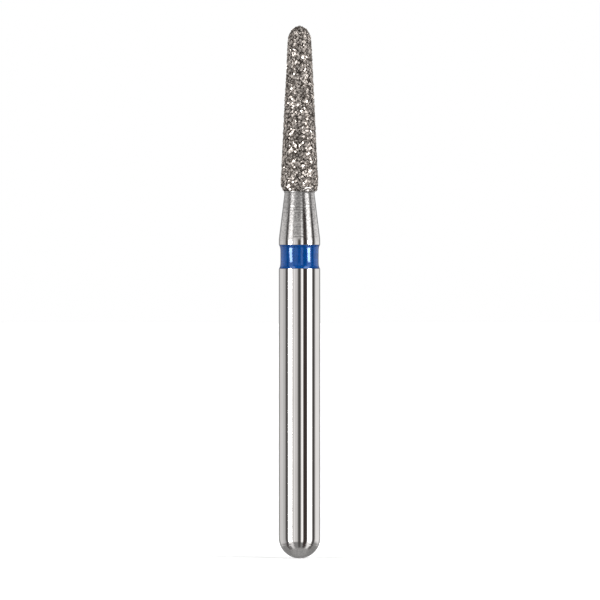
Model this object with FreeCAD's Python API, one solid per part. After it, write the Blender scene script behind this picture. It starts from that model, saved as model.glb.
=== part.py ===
"""Tapered, round-ended diamond bur for a friction-grip handpiece.

A steel blank is turned in one piece: a shank with a domed end, a shallow groove, a necked taper and a
slender core. The groove is filled with a coloured lacquer ring, and the core carries a nickel coat
set with diamond crystals. The bur stands upright, shank end down, with its axis on Z.
"""
import FreeCAD, Part
import math
import os
import random

Vector = FreeCAD.Vector

# Driving dimensions, in millimetres
overall_length = 20.6
shank_diameter = 1.60
shank_length = 11.21

groove_width = 0.91
groove_wall_depth = 0.13
groove_depth = 0.15
lacquer_edge_width = 0.07
lacquer_edge_drop = 0.032
lacquer_waist_drop = 0.057

neck_land_length = 0.23
neck_end_diameter = 1.16
shoulder_length = 0.12

head_length = 6.41
heel_length = 0.37
heel_diameter = 1.467
nose_length = 0.66
nose_diameter = 0.94

coat_thickness = 0.11
coat_edge_thickness = 0.02
crystal_spacing = 0.173
crystal_rise = 0.05

# Shares of those dimensions, counts, and the seed that the random grit starts from
heel_bulge_outward = 0.72
heel_bulge_upward = 0.38
crystal_scatter = 0.26
crystal_height_shares = (0.7, 1.15)
crystal_flat_shares = (0.45, 0.65)
smallest_row_count = 5
crystal_seed = 12
bore_sectors = 18

# Sizes worked out from them
shank_radius = shank_diameter / 2
groove_top = shank_length + groove_width
neck_end_radius = neck_end_diameter / 2
head_base = overall_length - head_length
heel_top = head_base + heel_length
nose_base = overall_length - nose_length
shoulder_base = head_base - shoulder_length / 2
shoulder_top = head_base + shoulder_length / 2

AXIS = Vector(0, 0, 1)
ORIGIN = Vector(0, 0, 0)
FLAT = 1e-6
FULL_TURN = 2 * math.pi
GOLDEN_TURN = math.pi * (3 - math.sqrt(5))


def at(radius, height):
    """Point of an outline, in the XZ plane."""
    return Vector(radius, 0, height)


def line(start, end):
    return Part.makeLine(start, end)


def lines(corners):
    return [line(start, end) for start, end in zip(corners, corners[1:])]


def arc(start, middle, end):
    return Part.Arc(start, middle, end).toShape()


def shallow_curve(start, middle, end):
    """Parabola from start to end that passes through the point halfway between them."""
    curve = Part.BezierCurve()
    curve.setPoles([start, middle * 2 - (start + end) / 2, end])
    return curve.toShape()


def round_nose(radius, base, apex):
    """Quarter ellipse from the side of the head up to its apex."""
    height = apex - base
    if height > radius:
        ellipse = Part.Ellipse(at(0, apex), at(radius, base), at(0, base))
    else:
        ellipse = Part.Ellipse(at(radius, base), at(0, apex), at(0, base))
    ends = sorted([ellipse.parameter(at(radius, base)), ellipse.parameter(at(0, apex))])
    return Part.ArcOfEllipse(ellipse, *ends).toShape()


def turned(edges):
    """Solid of revolution whose half outline starts and ends on the axis or closes on itself."""
    outline = Part.Wire(Part.__sortEdges__(edges))
    return Part.Face(outline).revolve(ORIGIN, AXIS, 360)


def head_radius(height):
    """Radius over the crystals on the tapered side of the head."""
    share = (height - heel_top) / (nose_base - heel_top)
    return (heel_diameter + share * (nose_diameter - heel_diameter)) / 2


def core_outline():
    """Outline of the steel under the coat, from the middle of the shoulder to the apex."""
    wide = at(head_radius(shoulder_top) - coat_thickness, shoulder_top)
    edge = at((neck_end_radius + wide.x) / 2, head_base)
    narrow = at(nose_diameter / 2 - coat_thickness, nose_base)
    return [
        line(edge, wide),
        line(wide, narrow),
        round_nose(narrow.x, nose_base, overall_length - coat_thickness),
    ]


def coat_edge_radius():
    """Radius of the steel where the coat stops, in the middle of the shoulder."""
    return core_outline()[0].Vertexes[0].X


def groove_outline():
    """Square walls and a slightly rounded floor, from the shank up to the neck land."""
    wall_radius = shank_radius - groove_wall_depth
    floor = at(shank_radius - groove_depth, (shank_length + groove_top) / 2)
    return [
        line(at(shank_radius, shank_length), at(wall_radius, shank_length)),
        shallow_curve(at(wall_radius, shank_length), floor, at(wall_radius, groove_top)),
        line(at(wall_radius, groove_top), at(shank_radius, groove_top)),
    ]


def steel_blank():
    """Shank, ring groove, neck and core, turned in one piece."""
    dome_side = shank_radius * math.sin(math.pi / 4)
    dome = arc(
        ORIGIN,
        at(dome_side, shank_radius - dome_side),
        at(shank_radius, shank_radius),
    )
    shank = line(at(shank_radius, shank_radius), at(shank_radius, shank_length))
    neck = lines([
        at(shank_radius, groove_top),
        at(shank_radius, groove_top + neck_land_length),
        at(neck_end_radius, shoulder_base),
        at(coat_edge_radius(), head_base),
    ])
    apex = at(0, overall_length - coat_thickness)
    outline = [dome, shank] + groove_outline() + neck + core_outline()
    return turned(outline + [line(apex, ORIGIN)])


def colour_ring():
    """Lacquer that fills the groove: flush at both edges and sunk in a shallow hollow between them."""
    rim_radius = shank_radius - lacquer_edge_drop
    lower = at(rim_radius, shank_length + lacquer_edge_width)
    waist = at(shank_radius - lacquer_waist_drop, (shank_length + groove_top) / 2)
    upper = at(rim_radius, groove_top - lacquer_edge_width)
    surface = [
        line(at(shank_radius, shank_length), lower),
        shallow_curve(lower, waist, upper),
        line(upper, at(shank_radius, groove_top)),
    ]
    return turned(surface + groove_outline())


def coat_outline():
    """Outline over the crystal tips: rounded heel, tapered side and round nose."""
    edge = at(coat_edge_radius() + coat_edge_thickness, head_base)
    heel = at(heel_diameter / 2, heel_top)
    bulge = at(
        edge.x + heel_bulge_outward * (heel.x - edge.x),
        head_base + heel_bulge_upward * heel_length,
    )
    side_end = at(nose_diameter / 2, nose_base)
    return Part.Wire([
        arc(edge, bulge, heel),
        line(heel, side_end),
        round_nose(side_end.x, nose_base, overall_length),
    ])


class CrystalRows:
    """Crystals in rows round the head, spaced alike along the outline and round the axis.

    Row 0 is the coat's lower edge and holds no crystals, and the last row is the one at the apex.
    """

    def __init__(self, chance):
        outline = coat_outline()
        row_step = crystal_spacing * math.sqrt(3) / 2
        self.points = outline.discretize(Number=round(outline.Length / row_step) + 1)
        if self.points[0].z > self.points[-1].z:
            self.points.reverse()
        self.last = len(self.points) - 1
        self.turns = [self.row_turns(row) for row in range(self.last)] + [[0.0]]
        self.feet = {
            (row, number): self.foot(row, turn, chance)
            for row, turns in enumerate(self.turns)
            for number, turn in enumerate(turns)
        }

    def row_turns(self, row):
        """Angles of one row's crystals, begun at a different angle in each row."""
        count = max(smallest_row_count, round(FULL_TURN * self.points[row].x / crystal_spacing))
        step = FULL_TURN / count
        start = (GOLDEN_TURN * row) % step
        return [start + step * number for number in range(count)]

    def directions(self, row, turn):
        """Directions straight out of the coat, round it and along it."""
        if row == self.last:
            return AXIS, Vector(1, 0, 0), Vector(0, 1, 0)
        slope = self.points[row + 1] - self.points[max(row - 1, 0)]
        outward = Vector(slope.z * math.cos(turn), slope.z * math.sin(turn), -slope.x).normalize()
        around = Vector(-math.sin(turn), math.cos(turn), 0)
        return outward, around, outward.cross(around)

    def foot(self, row, turn, chance):
        """Point on the nickel under one crystal, a little off its even place."""
        outward, around, along = self.directions(row, turn)
        point = self.points[row]
        tip = Vector(point.x * math.cos(turn), point.x * math.sin(turn), point.z)
        if 0 < row < self.last:
            reach = crystal_scatter * crystal_spacing
            tip += around * chance.uniform(-reach, reach) + along * chance.uniform(-reach, reach)
        return tip - outward * crystal_rise

    def stitched(self, row):
        """Triangles between a row and the next one, as sets of three (row, number) pairs."""
        lower = self.turns[row] + [self.turns[row][0] + FULL_TURN]
        upper = self.turns[row + 1] + [self.turns[row + 1][0] + FULL_TURN]
        low = high = 0
        triangles = []
        while low + 1 < len(lower) or high + 1 < len(upper):
            feet = {(row, low % (len(lower) - 1)), (row + 1, high % (len(upper) - 1))}
            lower_next = lower[low + 1] if low + 1 < len(lower) else math.inf
            upper_next = upper[high + 1] if high + 1 < len(upper) else math.inf
            if lower_next < upper_next:
                low += 1
            else:
                high += 1
            feet |= {(row, low % (len(lower) - 1)), (row + 1, high % (len(upper) - 1))}
            if len(feet) == 3:
                triangles.append(feet)
        return triangles


def edge_corner(corner):
    """Corner moved on to the coat's lower edge."""
    turn = math.atan2(corner.y, corner.x)
    radius = coat_edge_radius() + coat_edge_thickness
    return Vector(radius * math.cos(turn), radius * math.sin(turn), head_base)


def crystal_tops(foot, outward, corners, chance):
    """Tops of one crystal, which ends in a point, a ridge or a three-sided flat."""
    kind = chance.choice([1, 2, 3])
    tops = []
    for number in range(kind):
        own = corners[number * len(corners) // kind:(number + 1) * len(corners) // kind]
        lean = sum(own, Vector()) / len(own) - foot
        lean -= outward * lean.dot(outward)
        height = crystal_rise * chance.uniform(*crystal_height_shares)
        tops.append(foot + lean * chance.uniform(*crystal_flat_shares) + outward * height)
    return tops


def crust():
    """Points and triangles of the coat's outside, and the ring of points along its lower edge."""
    chance = random.Random(crystal_seed)
    rows = CrystalRows(chance)
    points = []
    around = {}
    edge_ring = []
    for row in range(rows.last):
        for feet in rows.stitched(row):
            corner = sum((rows.feet[foot] for foot in sorted(feet)), Vector()) / 3
            if row == 0:
                corner = edge_corner(corner)
                edge_ring.append(len(points))
            for foot in feet:
                around.setdefault(foot, []).append(len(points))
            points.append(corner)

    triangles = []
    for (row, number), corners in sorted(around.items()):
        if row == 0:
            continue
        foot = rows.feet[row, number]
        outward, east, north = rows.directions(row, rows.turns[row][number])
        corners.sort(key=lambda c: math.atan2((points[c] - foot).dot(north), (points[c] - foot).dot(east)))
        first = chance.randrange(len(corners))
        corners = corners[first:] + corners[:first]
        if row == rows.last:
            tops = [foot + outward * crystal_rise]
        else:
            tops = crystal_tops(foot, outward, [points[c] for c in corners], chance)
        top_of = [len(points) + place * len(tops) // len(corners) for place in range(len(corners))]
        points += tops
        for place, corner in enumerate(corners):
            following = (place + 1) % len(corners)
            triangles.append((corner, corners[following], top_of[place]))
            if top_of[place] != top_of[following]:
                triangles.append((corners[following], top_of[following], top_of[place]))
        if len(tops) == 3:
            triangles.append((top_of[0], top_of[0] + 1, top_of[0] + 2))
    return points, triangles, edge_ring


def coat_bore():
    """Inside of the coat, turned in short sectors so that it stays round when drawn with few facets."""
    step = 360 / bore_sectors
    sector = Part.Wire(core_outline()).revolve(ORIGIN, AXIS, step)
    sectors = [sector.rotated(ORIGIN, AXIS, step * number) for number in range(bore_sectors)]
    return Part.makeShell([face for turned_sector in sectors for face in turned_sector.Faces])


def diamond_coat():
    """Nickel coat closed over the nose of the core, set all over with crystals."""
    points, triangles, edge_ring = crust()
    corners = [Part.Vertex(point) for point in points]
    edges = {}

    def edge(first, second):
        pair = (min(first, second), max(first, second))
        if pair not in edges:
            edges[pair] = Part.Edge(corners[pair[0]], corners[pair[1]])
        return edges[pair]

    def loop(numbers):
        return Part.Wire([edge(numbers[place - 1], numbers[place]) for place in range(len(numbers))])

    facets = [Part.Face(loop(triangle)) for triangle in triangles]
    bore = coat_bore()
    rim = Part.Wire(Part.__sortEdges__([
        side for side in bore.Edges if side.BoundBox.ZMax < head_base + FLAT
    ]))
    lower_edge = Part.makeFace([loop(edge_ring), rim], "Part::FaceMakerBullseye")
    return Part.makeSolid(Part.makeShell(facets + [lower_edge] + bore.Faces))


pieces = {
    "steel_blank": steel_blank,
    "colour_ring": colour_ring,
    "diamond_coat": diamond_coat,
}

os.makedirs("parts", exist_ok=True)
for name, make in pieces.items():
    make().exportStep("parts/" + name + ".step")
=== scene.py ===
import math
import random

import bmesh
import bpy
from mathutils import Matrix, Vector, noise


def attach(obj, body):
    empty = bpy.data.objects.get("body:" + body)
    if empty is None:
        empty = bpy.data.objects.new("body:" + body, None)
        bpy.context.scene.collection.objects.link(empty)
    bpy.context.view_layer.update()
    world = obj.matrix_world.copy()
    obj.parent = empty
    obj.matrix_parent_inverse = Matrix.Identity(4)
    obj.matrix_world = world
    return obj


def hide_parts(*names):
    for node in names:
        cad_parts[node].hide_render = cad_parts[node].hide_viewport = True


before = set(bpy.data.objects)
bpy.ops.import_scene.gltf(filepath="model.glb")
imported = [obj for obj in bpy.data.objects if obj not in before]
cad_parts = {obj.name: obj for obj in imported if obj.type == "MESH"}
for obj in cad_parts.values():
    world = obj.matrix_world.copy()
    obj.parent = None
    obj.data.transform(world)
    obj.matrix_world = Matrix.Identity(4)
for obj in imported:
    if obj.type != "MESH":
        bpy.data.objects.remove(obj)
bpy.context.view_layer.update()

# Steel blank. One turned bar of stainless steel: domed shank end, plain shank, ring groove, neck and the
# slender core that the grit sits on. The shank is polished, and the dome and the neck are duller, with
# the fine rings that the lathe left.
MM = 0.001
bur_length = 20.6 * MM
shank_radius = 0.80 * MM
shank_top = 11.21 * MM
groove_floor = 0.66 * MM
groove_top = 12.12 * MM
neck_land_top = 12.35 * MM
neck_start = (0.7902 * MM, 12.43 * MM)
neck_end = (0.58 * MM, 14.13 * MM)
shoulder_start = (0.598 * MM, 14.15 * MM)
shoulder_end = (0.634 * MM, 14.41 * MM)
core_nose_base = 19.94 * MM
core_nose_radius = 0.36 * MM
core_apex = 20.49 * MM
edge_break = 0.012 * MM
turning_steps = 180
dome_rows = 120
neck_rows = 170
core_nose_rows = 16
sharp_edge = math.radians(38)

# rounding of the neck land's edge, as (inwards, upwards) in millimetres
land_rounding = ((0.0, -0.10), (0.0006, -0.05), (0.0024, 0.0), (0.0056, 0.04))

# grooves that the tool left, as (height, depth) in millimetres, and how far each reaches up and down
dome_marks = ((0.065, 0.008), (0.16, 0.005), (0.30, 0.003), (0.535, 0.0035))
dome_mark_reach = 0.030 * MM
neck_marks = (
    (12.46, 0.0014), (12.60, 0.0016), (12.83, 0.0006), (13.06, 0.0007), (13.24, 0.0006), (13.38, 0.0020),
    (13.51, 0.0014), (13.60, 0.0032), (13.71, 0.0008), (13.84, 0.0010), (13.97, 0.0016), (14.07, 0.0008),
)
neck_mark_reach = 0.036 * MM
neck_ripple_count = 41
neck_ripple_depth = 0.0003 * MM
shoulder_ring_count = 3
shoulder_ring_rows = 6
shoulder_ring_depth = 0.020 * MM


def spun(outline, steps):
    """Surface of revolution round Z from an outline of (radius, height) pairs."""
    shape = bmesh.new()
    corners = [shape.verts.new((radius, 0, height)) for radius, height in outline]
    for start, end in zip(corners, corners[1:]):
        shape.edges.new((start, end))
    if outline[0][0] > 0 and outline[-1][0] > 0:
        shape.edges.new((corners[-1], corners[0]))
    bmesh.ops.spin(
        shape, geom=shape.verts[:] + shape.edges[:], cent=(0, 0, 0), axis=(0, 0, 1),
        angle=math.tau, steps=steps, use_merge=True, use_duplicate=False,
    )
    bmesh.ops.remove_doubles(shape, verts=shape.verts, dist=1e-8)
    bmesh.ops.recalc_face_normals(shape, faces=shape.faces)
    return shape


def finished(name, shape):
    """Object made from a bmesh, shaded smooth but for its sharp edges."""
    mesh = bpy.data.meshes.new(name)
    shape.to_mesh(mesh)
    shape.free()
    mesh.shade_smooth()
    mesh.set_sharp_from_angle(angle=sharp_edge)
    piece = bpy.data.objects.new(name, mesh)
    bpy.context.scene.collection.objects.link(piece)
    return piece


def rounded_end(radius, base, apex, count):
    """Points of a quarter ellipse from the side at base to the axis at apex."""
    turns = [math.pi / 2 * step / count for step in range(count)]
    points = [(radius * math.cos(turn), base + (apex - base) * math.sin(turn)) for turn in turns]
    return points + [(0.0, apex)]


def marked(height, marks, reach):
    """Depth of the tool's grooves at one height."""
    dip = 0.0
    for mark_height, depth in marks:
        apart = min(abs(height - mark_height * MM) / reach, 1.0)
        dip += depth * MM * (0.5 + 0.5 * math.cos(math.pi * apart))
    return dip


def neck_taper():
    """Outline of the tapered neck, finely rippled and marked with the tool's grooves."""
    points = []
    for row in range(neck_rows + 1):
        share = row / neck_rows
        height = neck_start[1] + (neck_end[1] - neck_start[1]) * share
        dip = neck_ripple_depth * (0.5 - 0.5 * math.cos(share * neck_ripple_count * math.tau))
        dip += marked(height, neck_marks, neck_mark_reach)
        points.append((neck_start[0] + (neck_end[0] - neck_start[0]) * share - dip, height))
    return points


def shoulder_rings():
    """Outline of the shoulder, with coarser rings of uneven depth that the nickel holds on to."""
    points = []
    rows = shoulder_ring_count * shoulder_ring_rows
    for row in range(rows + 1):
        share = row / rows
        ring = share * shoulder_ring_count
        uneven = 0.55 + 0.45 * math.sin(ring * 2.4) * math.sin(ring * 0.9)
        dip = shoulder_ring_depth * uneven * (0.5 - 0.5 * math.cos(ring * math.tau))
        radius = shoulder_start[0] + (shoulder_end[0] - shoulder_start[0]) * share - dip
        points.append((radius, shoulder_start[1] + (shoulder_end[1] - shoulder_start[1]) * share))
    return points


dome_outline = [
    (radius * (1 - marked(height, dome_marks, dome_mark_reach) / shank_radius), height)
    for radius, height in rounded_end(shank_radius, shank_radius, 0.0, dome_rows)
]
blank_outline = dome_outline[::-1] + [
    (shank_radius, 4.0 * MM),
    (shank_radius, 8.0 * MM),
    (shank_radius, shank_top - edge_break),
    (shank_radius - edge_break, shank_top),
    (groove_floor, shank_top),
    (groove_floor, groove_top),
    (shank_radius - edge_break, groove_top),
    (shank_radius, groove_top + edge_break),
]
blank_outline += [
    (shank_radius - inwards * MM, neck_land_top + upwards * MM) for inwards, upwards in land_rounding
]
blank_outline += neck_taper() + shoulder_rings()
blank_outline += rounded_end(core_nose_radius, core_nose_base, core_apex, core_nose_rows)
blank = finished("steel_blank_turned", spun(blank_outline, turning_steps))


def feed(tree, socket, value):
    """Link a socket to another node's output, or give it a plain number, vector or colour."""
    if isinstance(value, bpy.types.NodeSocket):
        tree.links.new(value, socket)
    elif socket.type == "RGBA":
        socket.default_value = (*value, 1)
    else:
        socket.default_value = value


def node(tree, kind, **inputs):
    """Shader node with its inputs fed, set out in rows of eight in the order of making."""
    number = len(tree.nodes)
    made = tree.nodes.new(kind)
    made.location = (240 * (number % 8), -340 * (number // 8))
    for name, value in inputs.items():
        feed(tree, made.inputs[name.replace("_", " ")], value)
    return made


def ramp(tree, factor, stops):
    """Colour ramp from (position, colour) pairs."""
    made = node(tree, "ShaderNodeValToRGB", Fac=factor)
    elements = made.color_ramp.elements
    while len(elements) < len(stops):
        elements.new(1.0)
    for element, (position, colour) in zip(elements, stops):
        element.position = position
        element.color = (*colour, 1)
    return made.outputs["Color"]


def calculated(tree, operation, first, second=0.0):
    """Output of one arithmetic node."""
    made = node(tree, "ShaderNodeMath")
    made.operation = operation
    feed(tree, made.inputs[0], first)
    feed(tree, made.inputs[1], second)
    return made.outputs[0]


def mixed(tree, factor, first, second, blend="MIX"):
    """Colour between two, or their product, as one mix node's output."""
    made = node(tree, "ShaderNodeMix")
    made.data_type = "RGBA"
    made.blend_type = blend
    colours = [socket for socket in made.inputs if socket.type == "RGBA"]
    for socket, value in zip([made.inputs[0]] + colours, (factor, first, second)):
        feed(tree, socket, value)
    return next(socket for socket in made.outputs if socket.type == "RGBA")


def remapped(tree, value, before, after=(0.0, 1.0)):
    """Value carried from one range to another, and held at its ends."""
    made = node(tree, "ShaderNodeMapRange", Value=value, From_Min=before[0], From_Max=before[1],
                To_Min=after[0], To_Max=after[1])
    return made.outputs["Result"]


def clouds(tree, place, scale, detail):
    """Cloudy noise, with its own scale along each axis."""
    scaled = node(tree, "ShaderNodeMapping", Vector=place, Scale=scale).outputs["Vector"]
    return node(tree, "ShaderNodeTexNoise", Vector=scaled, Scale=1.0, Detail=detail).outputs["Fac"]


def bumped(tree, height, strength, distance, **normal):
    """Normal of a surface made uneven by a height."""
    made = node(tree, "ShaderNodeBump", Height=height, Strength=strength, Distance=distance, **normal)
    return made.outputs["Normal"]


def grey(level):
    return (level, level, level)


def node_group(name, inputs, outputs):
    """Empty shader node group with sockets from (name, type) pairs, and what it is given and gives."""
    made = bpy.data.node_groups.new(name, "ShaderNodeTree")
    for way, sockets in (("INPUT", inputs), ("OUTPUT", outputs)):
        for socket_name, kind in sockets:
            made.interface.new_socket(name=socket_name, in_out=way, socket_type="NodeSocket" + kind)
    return made, node(made, "NodeGroupInput").outputs, node(made, "NodeGroupOutput").inputs


def placed(tree, group, label, **inputs):
    """Outputs of a node group placed in a tree, with its inputs fed."""
    made = node(tree, "ShaderNodeGroup")
    made.node_tree = group
    made.label = label
    for name, value in inputs.items():
        feed(tree, made.inputs[name.replace("_", " ")], value)
    return made.outputs


def new_material(name):
    """Material with an empty node tree, and the tree."""
    made = bpy.data.materials.new(name)
    made.use_nodes = True
    made.node_tree.nodes.clear()
    return made, made.node_tree


def surfaced(tree, **inputs):
    """Principled surface that finishes a material, with its inputs fed."""
    surface = node(tree, "ShaderNodeBsdfPrincipled", **inputs)
    node(tree, "ShaderNodeOutputMaterial", Surface=surface.outputs["BSDF"])


uneven_tone, given, gives = node_group(
    "uneven tone",
    (("Place", "Vector"), ("Scale", "Vector"), ("Detail", "Float"), ("Low", "Float"), ("High", "Float"),
     ("Dark", "Color"), ("Light", "Color")),
    (("Tone", "Color"), ("Clouds", "Float")),
)
cloudy = clouds(uneven_tone, given["Place"], given["Scale"], given["Detail"])
between = remapped(uneven_tone, cloudy, (given["Low"], given["High"]))
feed(uneven_tone, gives["Tone"], mixed(uneven_tone, between, given["Dark"], given["Light"]))
feed(uneven_tone, gives["Clouds"], cloudy)

steel, tree = new_material("polished stainless steel")
place = node(tree, "ShaderNodeTexCoord").outputs["Object"]
height = node(tree, "ShaderNodeSeparateXYZ", Vector=place).outputs["Z"]
along = remapped(tree, height, (0.0, bur_length))
stains = placed(
    tree, uneven_tone, "stains", Place=place, Scale=(900, 900, 420), Detail=4.0, Low=0.3, High=0.7,
    Dark=(0.625, 0.605, 0.59), Light=(0.68, 0.66, 0.648),
)
# dull dome, polished shank with two rubbed bands, and dull neck, by share of the bur's length
finish = ramp(tree, along, [
    (0.0, grey(0.28)), (0.0150, grey(0.25)), (0.0220, grey(0.12)), (0.0300, grey(0.045)),
    (0.2310, grey(0.045)), (0.2330, grey(0.10)), (0.2350, grey(0.045)),
    (0.3475, grey(0.045)), (0.3495, grey(0.09)), (0.3515, grey(0.045)),
    (0.588, grey(0.05)), (0.600, grey(0.10)), (0.640, grey(0.12)), (0.662, grey(0.20)), (0.69, grey(0.23)),
])
matte = ramp(tree, along, [
    (0.0, grey(0.5)), (0.016, grey(0.4)), (0.025, grey(0.0)),
    (0.585, grey(0.0)), (0.60, grey(0.5)), (0.64, grey(1.0)), (0.69, grey(0.7)),
])
# the steel is darker above the middle of the neck, which dims the upper neck's reflections
darker_upper_neck = ramp(tree, along, [(0.640, grey(1.0)), (0.662, grey(0.80))])
specks = clouds(tree, place, (15000, 15000, 15000), 2.0)
worn = ramp(tree, specks, [(0.38, grey(0.50)), (0.50, grey(0.82)), (0.62, grey(1.0))])
speckled = mixed(tree, matte, stains["Tone"], worn, "MULTIPLY")
steel_colour = mixed(tree, 1.0, speckled, darker_upper_neck, "MULTIPLY")
patchy = remapped(tree, stains["Clouds"], (0.3, 0.7), (0.8, 1.3))
fine_rings = clouds(tree, place, (300, 300, 24000), 3.0)
mottle = clouds(tree, place, (5000, 5000, 13000), 2.0)
ringed = bumped(tree, fine_rings, 0.03, 0.002 * MM)
mottled = bumped(tree, calculated(tree, "MULTIPLY", mottle, matte), 0.6, 0.006 * MM, Normal=ringed)
surfaced(
    tree, Base_Color=steel_colour, Metallic=1.0, Roughness=calculated(tree, "MULTIPLY", finish, patchy),
    Normal=mottled,
)
blank.data.materials.append(steel)
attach(blank, "root")
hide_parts("steel_blank")

# Colour ring. Blue lacquer brushed into the groove as the bur turned: it is level with both edges and
# sank between them as it dried, with a glossy surface that isn't quite even.
lacquer_edge_radius = 0.793 * MM
lacquer_waist_radius = 0.739 * MM
lacquer_fullness = 5.5
lacquer_rows = 48
lacquer_wave_size = 0.26 * MM
lacquer_wave_depth = 0.0026 * MM

ring_outline = [(groove_floor, shank_top)]
for row in range(lacquer_rows + 1):
    rise = abs(2 * row / lacquer_rows - 1) ** lacquer_fullness
    radius = lacquer_waist_radius + (lacquer_edge_radius - lacquer_waist_radius) * rise
    ring_outline.append((radius, shank_top + (groove_top - shank_top) * row / lacquer_rows))
ring_outline += [(groove_floor, groove_top)]
shape = spun(ring_outline, turning_steps)
for corner in shape.verts:
    outward = Vector((corner.co.x, corner.co.y, 0)).normalized()
    if shank_top + 1e-9 < corner.co.z < groove_top - 1e-9:
        corner.co += outward * noise.noise(corner.co / lacquer_wave_size) * lacquer_wave_depth
ring = finished("colour_ring_lacquer", shape)

lacquer, tree = new_material("blue lacquer")
place = node(tree, "ShaderNodeTexCoord").outputs["Object"]
blue = placed(
    tree, uneven_tone, "flow", Place=place, Scale=(1800, 1800, 1800), Detail=2.0, Low=0.3, High=0.7,
    Dark=(0.0004, 0.048, 0.220), Light=(0.0012, 0.062, 0.272),
)
surfaced(
    tree, Base_Color=blue["Tone"], Metallic=0.10, Roughness=0.04, IOR=1.60, Specular_Tint=(0.62, 0.80, 1.0),
)
ring.data.materials.append(lacquer)
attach(ring, "root")
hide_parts("colour_ring")

# Diamond coat, the nickel. It is plated over the core between the diamond crystals and up their sides,
# closes over the tip, and runs out unevenly on the shoulder above the neck. At one place on the lower
# edge it is bare, and shines in two low arched beads.
coat_base = 14.19 * MM
coat_base_radius = 0.622 * MM
heel_top = 14.56 * MM
heel_radius = 0.7335 * MM
heel_rows = 8
heel_fullness = 1.4
nose_base = 19.94 * MM
nose_radius = 0.470 * MM
nose_rows = 30
coat_apex = 20.60 * MM
inner_wall_limit = 0.6 * MM
inner_wall_lap = 0.004 * MM
inner_wall_rows = 12
plating_sink = 0.034 * MM
plating_lip_radius = 0.606 * MM
plating_wave_size = 0.09 * MM
plating_wave_depth = 0.007 * MM
plating_steps = 200
lower_share = 0.07
lower_rows = 40
upper_rows = 150
edge_wave_count = 3.1
edge_wave_height = 0.03 * MM
bare_side = math.radians(-60)
bare_half_width = math.radians(24)
bare_base = 14.155 * MM
bare_height = 0.216 * MM
bare_radius = 0.604 * MM
bare_slope = 0.30
bare_reach = 1.25
bead_count = 2
bead_depth = 0.025 * MM

coat_outline = []
for row in range(heel_rows + 1):
    turn = math.pi / 2 * row / heel_rows
    coat_outline.append((
        coat_base_radius + (heel_radius - coat_base_radius) * math.sin(turn) ** heel_fullness,
        coat_base + (heel_top - coat_base) * (1 - math.cos(turn)),
    ))
coat_outline += rounded_end(nose_radius, nose_base, coat_apex, nose_rows)
coat_lengths = [0.0]
for start, end in zip(coat_outline, coat_outline[1:]):
    coat_lengths.append(coat_lengths[-1] + math.dist(start, end))


def coat_point(share):
    """Radius, height and outward slope over the crystals, from share 0 at the lower edge to 1 at the apex."""
    place = share * coat_lengths[-1]
    for start, end, low, high in zip(coat_outline, coat_outline[1:], coat_lengths, coat_lengths[1:]):
        if place <= high:
            part = (place - low) / (high - low)
            along = Vector((end[0] - start[0], end[1] - start[1])).normalized()
            radius = start[0] + (end[0] - start[0]) * part
            return radius, start[1] + (end[1] - start[1]) * part, Vector((along.y, -along.x))
    return 0.0, coat_apex, Vector((0, 1))


def across_bare(turn):
    """Distance round the axis from the middle of the bare patch: 1 at the patch's side."""
    return ((turn - bare_side + math.pi) % math.tau - math.pi) / bare_half_width


def lower_edge(turn):
    """Height at which the plating stops, at a given angle round the axis."""
    wave = noise.noise(Vector((math.cos(turn), math.sin(turn), 0)) * edge_wave_count) * edge_wave_height
    bare = max(0.0, 1 - across_bare(turn) ** 2)
    return (coat_base + abs(wave)) * (1 - bare) + bare_base * bare


def bare_distance(turn, height):
    """Distance from the middle of the bare patch over the lower edge: 1 on the patch's arched outline."""
    return math.hypot(across_bare(turn), (height - bare_base) / bare_height)


# the inner wall is hidden, a little inside the steel
inner_wall = rounded_end(
    core_nose_radius - inner_wall_lap, core_nose_base, core_apex - inner_wall_lap, inner_wall_rows,
)
bed_outline = inner_wall[::-1] + [
    (0.624 * MM, heel_top - 0.02 * MM),
    (0.585 * MM, coat_base + 0.01 * MM),
    (plating_lip_radius, coat_base),
]
bed_shares = [lower_share * row / lower_rows for row in range(1, lower_rows)]
bed_shares += [lower_share + (1 - lower_share) * row / upper_rows for row in range(upper_rows)]
for share in bed_shares:
    radius, height, outward = coat_point(share)
    bed_outline.append((radius - outward.x * plating_sink, height - outward.y * plating_sink))
bed_outline.append((0.0, coat_apex - plating_sink))
shape = spun(bed_outline, plating_steps)
bare_plating = shape.verts.layers.float.new("bare_plating")
for corner in shape.verts:
    across = Vector((corner.co.x, corner.co.y, 0))
    if across.length == 0:
        continue
    turn = math.atan2(corner.co.y, corner.co.x)
    edge = lower_edge(turn)
    if corner.co.z < heel_top:
        share = (corner.co.z - coat_base) / (heel_top - coat_base)
        corner.co.z = edge + (heel_top - edge) * share
    swell = noise.noise(corner.co / plating_wave_size) * plating_wave_depth
    away = bare_distance(turn, corner.co.z)
    if away < bare_reach and across.length > inner_wall_limit:
        patch = min(1.0, (bare_reach - away) / (bare_reach - 1))
        share = away * bead_count % 1.0
        bead = 4 * share * (1 - share) * bead_depth
        sunk = (bare_radius + (corner.co.z - bare_base) * bare_slope + bead) / math.cos(turn - bare_side)
        corner[bare_plating] = patch
        swell = (sunk - across.length) * patch + swell * (1 - patch)
    corner.co += across.normalized() * swell
bed = finished("diamond_coat_nickel", shape)

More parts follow.
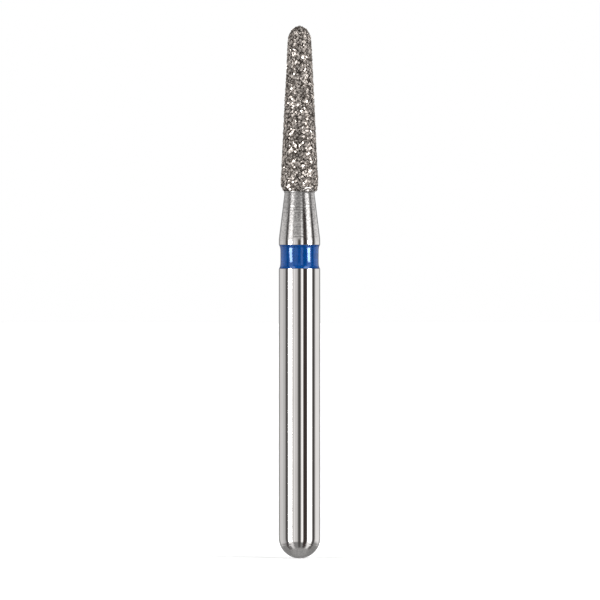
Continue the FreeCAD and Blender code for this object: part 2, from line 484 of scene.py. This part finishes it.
nickel, tree = new_material("plated nickel")
place = node(tree, "ShaderNodeTexCoord").outputs["Object"]
# The nickel's tone is kept far darker than bare nickel: painted shade in the gaps between the crystals, over
# the nickel's own uneven grain.
grain_and_gap_shade = placed(
    tree, uneven_tone, "grain_and_gap_shade", Place=place, Scale=(26000, 26000, 26000), Detail=3.0, Low=0.35, High=0.65,
    Dark=(0.03, 0.024, 0.020), Light=(0.11, 0.095, 0.083),
)
patch = node(tree, "ShaderNodeAttribute")
patch.attribute_name = "bare_plating"
bare = patch.outputs["Fac"]
surfaced(
    tree, Base_Color=mixed(tree, bare, grain_and_gap_shade["Tone"], (0.27, 0.25, 0.235)), Metallic=1.0,
    Roughness=remapped(tree, bare, (0.0, 1.0), (0.42, 0.20)),
    Normal=bumped(tree, grain_and_gap_shade["Clouds"], 0.3, 0.006 * MM),
)
bed.data.materials.append(nickel)
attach(bed, "root")
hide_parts("diamond_coat")

# Diamond coat, the crystals. Medium grit: blocky broken diamonds about an eighth of a millimetre across,
# held in the nickel by half their height and lying at random, with flat facets that shine each its own way.
crystal_size = 0.126 * MM
crystal_size_shares = (0.80, 1.12)
crystal_count = 1800
crystal_kinds = 14
crystal_block = 0.84
crystal_cuts = 6
crystal_cut_depths = (0.41, 0.54)
crystal_lean = 0.17
crystal_sink = 0.42
crystal_proud = (-0.020 * MM, -0.004 * MM)
crystal_scatter = 0.03 * MM
crystal_edge_gap = 0.035 * MM
crystal_bare_gap = 1.15
apex_crystal_size = 0.085 * MM
golden_turn = math.pi * (3 - math.sqrt(5))
bands = 500
# three crystals that overhang the lower edge, as (turn, radius, height), the last two in millimetres
hanging_crystals = ((-0.42, 0.655, 14.235), (-0.20, 0.665, 14.24), (-0.33, 0.685, 14.30))
hanging_slope = Vector((0.8, -0.6))
hanging_size = 0.12 * MM
hanging_proud = 0.01 * MM
chance = random.Random(5)

kinds = []
for kind in range(crystal_kinds):
    crystal = bmesh.new()
    bmesh.ops.create_cube(crystal, size=crystal_block)
    for cut in range(crystal_cuts):
        way = Vector((chance.gauss(0, 1), chance.gauss(0, 1), chance.gauss(0, 1))).normalized()
        bmesh.ops.bisect_plane(
            crystal, geom=crystal.verts[:] + crystal.edges[:] + crystal.faces[:],
            plane_co=way * chance.uniform(*crystal_cut_depths), plane_no=way, clear_outer=True,
        )
        bmesh.ops.holes_fill(crystal, edges=crystal.edges, sides=0)
    bmesh.ops.recalc_face_normals(crystal, faces=crystal.faces)
    mesh = bpy.data.meshes.new("crystal")
    crystal.to_mesh(mesh)
    crystal.free()
    kinds.append(mesh)


def upright(direction):
    """Turn that brings a crystal's top to face a direction."""
    return direction.to_track_quat("Z", "Y").to_matrix().to_4x4()


def add_crystal(grit, turn, radius, height, outward, size, proud):
    """One crystal of a random kind, turned at random, whose outside stands proud of the given point."""
    sideways = Vector((math.cos(turn), math.sin(turn), 0))
    normal = sideways * outward.x + Vector((0, 0, outward.y))
    centre = sideways * radius + Vector((0, 0, height)) + normal * (proud - size * crystal_sink)
    lean = Vector((chance.gauss(0, crystal_lean), chance.gauss(0, crystal_lean), 1.0))
    turned = upright(normal) @ upright(lean) @ Matrix.Rotation(chance.uniform(0, math.tau), 4, "Z")
    first = len(grit.verts)
    grit.from_mesh(chance.choice(kinds))
    grit.verts.ensure_lookup_table()
    bmesh.ops.transform(
        grit, matrix=Matrix.Translation(centre) @ turned @ Matrix.Scale(size, 4), verts=grit.verts[first:],
    )


grit = bmesh.new()
band_radii = [coat_point((band + 0.5) / bands)[0] for band in range(bands)]
whole = sum(band_radii)
filled = 0.0
band = 0
for number in range(crystal_count):
    target = (number + 0.5) / crystal_count * whole
    while filled + band_radii[band] < target:
        filled += band_radii[band]
        band += 1
    radius, height, outward = coat_point((band + (target - filled) / band_radii[band]) / bands)
    turn = number * golden_turn
    turn += chance.uniform(-crystal_scatter, crystal_scatter) / max(radius, crystal_scatter)
    height += chance.uniform(-crystal_scatter, crystal_scatter) * outward.x
    size = crystal_size * chance.uniform(*crystal_size_shares)
    if height > lower_edge(turn) + crystal_edge_gap and bare_distance(turn, height) > crystal_bare_gap:
        add_crystal(grit, turn, radius, height, outward, size, chance.uniform(*crystal_proud))
add_crystal(grit, 0.0, 0.0, coat_apex, Vector((0, 1)), apex_crystal_size, 0.0)
for turn, radius, height in hanging_crystals:
    add_crystal(grit, turn, radius * MM, height * MM, hanging_slope, hanging_size, hanging_proud)
mesh = bpy.data.meshes.new("diamond_coat_crystals")
grit.to_mesh(mesh)
grit.free()
crystals = bpy.data.objects.new("diamond_coat_crystals", mesh)
bpy.context.scene.collection.objects.link(crystals)
for mesh in kinds:
    bpy.data.meshes.remove(mesh)

diamond, tree = new_material("diamond grit")
place = node(tree, "ShaderNodeTexCoord").outputs["Object"]
clouded = placed(
    tree, uneven_tone, "clouded diamond", Place=place, Scale=(9000, 9000, 9000), Detail=2.0,
    Low=0.38, High=0.62, Dark=(0.086, 0.071, 0.061), Light=(0.61, 0.555, 0.51),
)
surfaced(
    tree, Base_Color=clouded["Tone"], Metallic=0.68, Roughness=0.35, IOR=2.4, Specular_Tint=(1.0, 0.95, 0.90),
)
crystals.data.materials.append(diamond)
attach(crystals, "root")
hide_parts("diamond_coat")

# Studio. A pale floor under the bur, and a soft studio round it: two tall softboxes in front, at the
# left and right, pale walls behind, and dark flags and the dark camera between the lights.
picture_size = 600
foot_row = 558.3
axis_offset = 0.5
photo_scale = 25.85 / MM
camera_distance = 0.30
film_width = 36
floor_radius = 3.0
floor_lift = 0.40
softbox_fill = 0.17
wall_fill = 0.85

floor_shape = bmesh.new()
bmesh.ops.create_circle(floor_shape, cap_ends=True, radius=floor_radius, segments=96)
floor_mesh = bpy.data.meshes.new("floor")
floor_shape.to_mesh(floor_mesh)
floor_shape.free()
floor = bpy.data.objects.new("floor", floor_mesh)
bpy.context.scene.collection.objects.link(floor)
floor.visible_glossy = False
pale, tree = new_material("pale floor")
path = node(tree, "ShaderNodeLightPath").outputs
surfaced(
    tree, Base_Color=grey(0.88), Roughness=1.0, Specular_IOR_Level=0.0, Emission_Color=grey(1.0),
    Emission_Strength=calculated(tree, "MULTIPLY", path["Is Camera Ray"], floor_lift),
)
floor.data.materials.append(pale)


def soft_step(tree, value, edge, softness):
    """0 below the edge and 1 above it, with a soft change between them."""
    low = calculated(tree, "SUBTRACT", edge, softness)
    high = calculated(tree, "ADD", edge, softness)
    stepped = remapped(tree, value, (low, high))
    stepped.node.interpolation_type = "SMOOTHSTEP"
    return stepped


panel_mask, given, gives = node_group(
    "studio panel",
    [(name, "Float") for name in (
        "Turn", "Rise", "Centre", "Half Width", "Side Softness", "Low", "High", "End Softness",
    )],
    [("Mask", "Float")],
)
apart = calculated(panel_mask, "ABSOLUTE", calculated(panel_mask, "SUBTRACT", given["Turn"], given["Centre"]))
beyond = soft_step(panel_mask, apart, given["Half Width"], given["Side Softness"])
above = soft_step(panel_mask, given["Rise"], given["Low"], given["End Softness"])
over = soft_step(panel_mask, given["Rise"], given["High"], given["End Softness"])
within_sides = calculated(panel_mask, "SUBTRACT", 1.0, beyond)
within_ends = calculated(panel_mask, "SUBTRACT", above, over)
feed(panel_mask, gives["Mask"], calculated(panel_mask, "MULTIPLY", within_sides, within_ends))

# name, middle and half width round the object, side softness, lowest and highest angle, end softness, colour
studio_panels = [
    ("grey walls", 0, 200, 4, -95, 95, 1, grey(0.34)),
    ("left wall", -118, 24, 10, -20, 15, 7, grey(0.88)),
    ("left wall edge", -96, 8, 4, -20, 15, 7, grey(0.70)),
    ("right wall", 120, 24, 12, -16, 13, 7, grey(1.12)),
    ("front wall", 0, 42, 3, -64, 14, 8, (0.86, 0.85, 0.845)),
    ("front wall edge", -28, 3.5, 1.5, -64, 8, 5, grey(1.12)),
    ("foot of the front wall", 0, 38, 4, -66, -22, 5, grey(0.31)),
    ("camera", -1, 8.5, 6, -64, 8, 7, (0.10, 0.098, 0.092)),
    ("gap by the camera", 14.4, 4.2, 1.4, -24, 16, 6, grey(1.55)),
    ("right flag", 31.5, 10, 2.5, -60, 70, 4, (0.060, 0.047, 0.044)),
    ("left flag", -77.3, 3.6, 1.6, -34, 60, 4, (0.045, 0.036, 0.034)),
    ("foot of the left flag", -87, 6, 3, -60, -24, 6, (0.09, 0.08, 0.075)),
    ("left flag edge", -67, 5, 1.6, -60, 60, 4, grey(0.20)),
    ("far right flag", 86.5, 7.0, 3.5, -60, 60, 4, (0.085, 0.08, 0.078)),
    ("low light at the left", -52.3, 8.9, 1.5, -66, -10, 3, grey(0.95)),
    ("low light at the right", 60.5, 9.9, 1.5, -66, -10, 3, grey(1.15)),
    ("rim of the left light", -53.7, 14.2, 1.2, -36, 24, 8, grey(1.02)),
    ("rim of the right light", 60.5, 15.0, 1.2, -36, 24, 8, grey(1.22)),
    ("top of the left light", -53.7, 11.5, 3, 8, 26, 5, grey(1.75)),
    ("top of the right light", 59, 12, 3, 8, 26, 5, grey(2.1)),
    ("left softbox", -53.5, 8.8, 1.2, -18.5, 2, 3.0, grey(19.0)),
    ("right softbox", 58.5, 9.0, 1.2, -18.5, 2, 3.0, grey(23.0)),
    ("dim room below", 0, 200, 1, -96, -57, 7, grey(0.47)),
    ("ceiling light at the left", -50, 17, 6, 28, 60, 6, grey(3.0)),
    ("ceiling light at the right", 50, 18, 6, 28, 60, 6, grey(4.2)),
    ("dark ceiling in front", -4, 26, 6, 26, 74, 6, grey(0.07)),
    ("dark ceiling behind at the left", -140, 50, 8, 26, 74, 6, grey(0.12)),
    ("dark ceiling behind at the right", 140, 50, 8, 26, 74, 6, grey(0.12)),
    ("dark ceiling overhead", 0, 200, 1, 72, 95, 6, grey(0.20)),
]

world = bpy.data.worlds.new("studio")
bpy.context.scene.world = world
world.use_nodes = True
tree = world.node_tree
tree.nodes.clear()
ways = node(tree, "ShaderNodeTexCoord").outputs["Generated"]
parts = node(tree, "ShaderNodeSeparateXYZ", Vector=ways).outputs
backwards = calculated(tree, "MULTIPLY", parts["Y"], -1.0)
turn = calculated(tree, "DEGREES", calculated(tree, "ARCTAN2", parts["X"], backwards))
rise = calculated(tree, "DEGREES", calculated(tree, "ARCSINE", parts["Z"]))
path = node(tree, "ShaderNodeLightPath").outputs
# the background is white to the camera, to metal and to glass, and the panels stand before it
seen = calculated(tree, "MAXIMUM", path["Is Camera Ray"], path["Is Glossy Ray"])
seen = calculated(tree, "MAXIMUM", seen, path["Is Transmission Ray"])
colour = mixed(tree, seen, grey(0.8), grey(1.0))
for name, centre, half_width, side_softness, low, high, end_softness, tint in studio_panels:
    if "softbox" in name:
        tint = mixed(tree, path["Is Diffuse Ray"], tint, tuple(softbox_fill * level for level in tint))
    mask = placed(
        tree, panel_mask, name, Turn=turn, Rise=rise, Centre=centre, Half_Width=half_width,
        Side_Softness=side_softness, Low=low, High=high, End_Softness=end_softness,
    )
    colour = mixed(tree, mask["Mask"], colour, tint)
# the camera sees past the panels, and the walls light dull surfaces a little more
colour = mixed(tree, path["Is Camera Ray"], colour, grey(1.0))
strength = calculated(tree, "ADD", calculated(tree, "MULTIPLY", path["Is Diffuse Ray"], wall_fill), 1.0)
studio = node(tree, "ShaderNodeBackground", Color=colour, Strength=strength)
node(tree, "ShaderNodeOutputWorld", Surface=studio.outputs["Background"])
bpy.context.scene.view_settings.view_transform = "Standard"

camera_data = bpy.data.cameras.new("camera")
camera_data.sensor_width = film_width
camera_data.lens = film_width * camera_distance / (picture_size / photo_scale)
camera_data.clip_start = 0.01
camera_data.clip_end = 20
camera = bpy.data.objects.new("camera", camera_data)
bpy.context.scene.collection.objects.link(camera)
camera.location = (
    axis_offset / photo_scale, -camera_distance, (foot_row - picture_size / 2) / photo_scale,
)
camera.rotation_euler = (math.pi / 2, 0, 0)
bpy.context.scene.camera = camera
